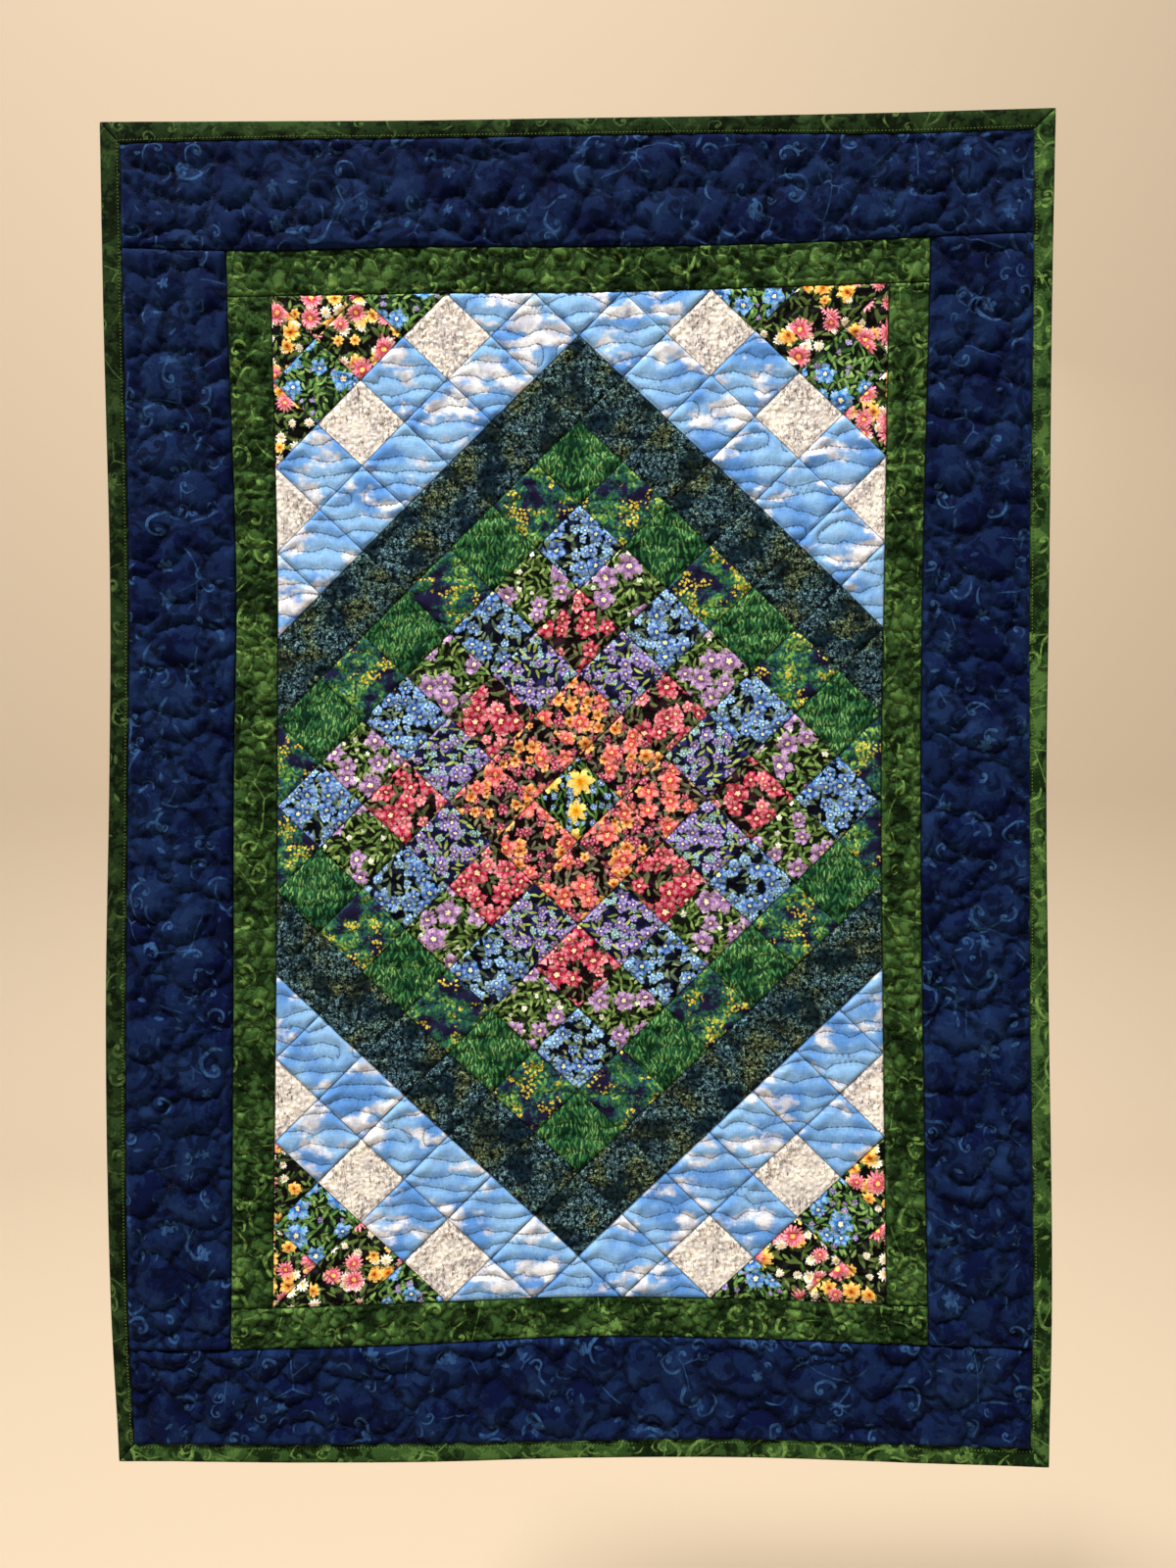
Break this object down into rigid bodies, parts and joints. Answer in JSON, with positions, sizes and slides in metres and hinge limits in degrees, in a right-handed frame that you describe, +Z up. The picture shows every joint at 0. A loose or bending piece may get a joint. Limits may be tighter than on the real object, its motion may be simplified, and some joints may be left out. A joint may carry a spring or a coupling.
{
  "type": "art quilt wall hanging",
  "caption": "Quilted patchwork wall hanging with a centre panel of squares, a narrow green inner border, a wide navy outer border and a mitred green binding.",
  "frame": {"origin": "on the wall plane, level with the two top corners and midway between them", "axes": "+Z up, +X to the right of someone facing the quilt, -Y out of the wall towards them"},
  "size_m": [0.6043, 0.0163, 0.8591],
  "materials": {
    "patchwork_cotton": "matt printed cotton in squares",
    "green_scroll_cotton": "matt cotton, mottled green scroll print",
    "navy_scroll_cotton": "matt cotton, mottled navy scroll print"
  },
  "bodies": {
    "root": {"centre_panel": "patchwork_cotton", "binding_bottom": "green_scroll_cotton", "binding_left": "green_scroll_cotton", "binding_right": "green_scroll_cotton", "binding_top": "green_scroll_cotton", "inner_border_bottom": "green_scroll_cotton", "inner_border_left": "green_scroll_cotton", "inner_border_right": "green_scroll_cotton", "inner_border_top": "green_scroll_cotton", "outer_border_bottom": "navy_scroll_cotton", "outer_border_left": "navy_scroll_cotton", "outer_border_right": "navy_scroll_cotton", "outer_border_top": "navy_scroll_cotton"}
  },
  "joints": []
}
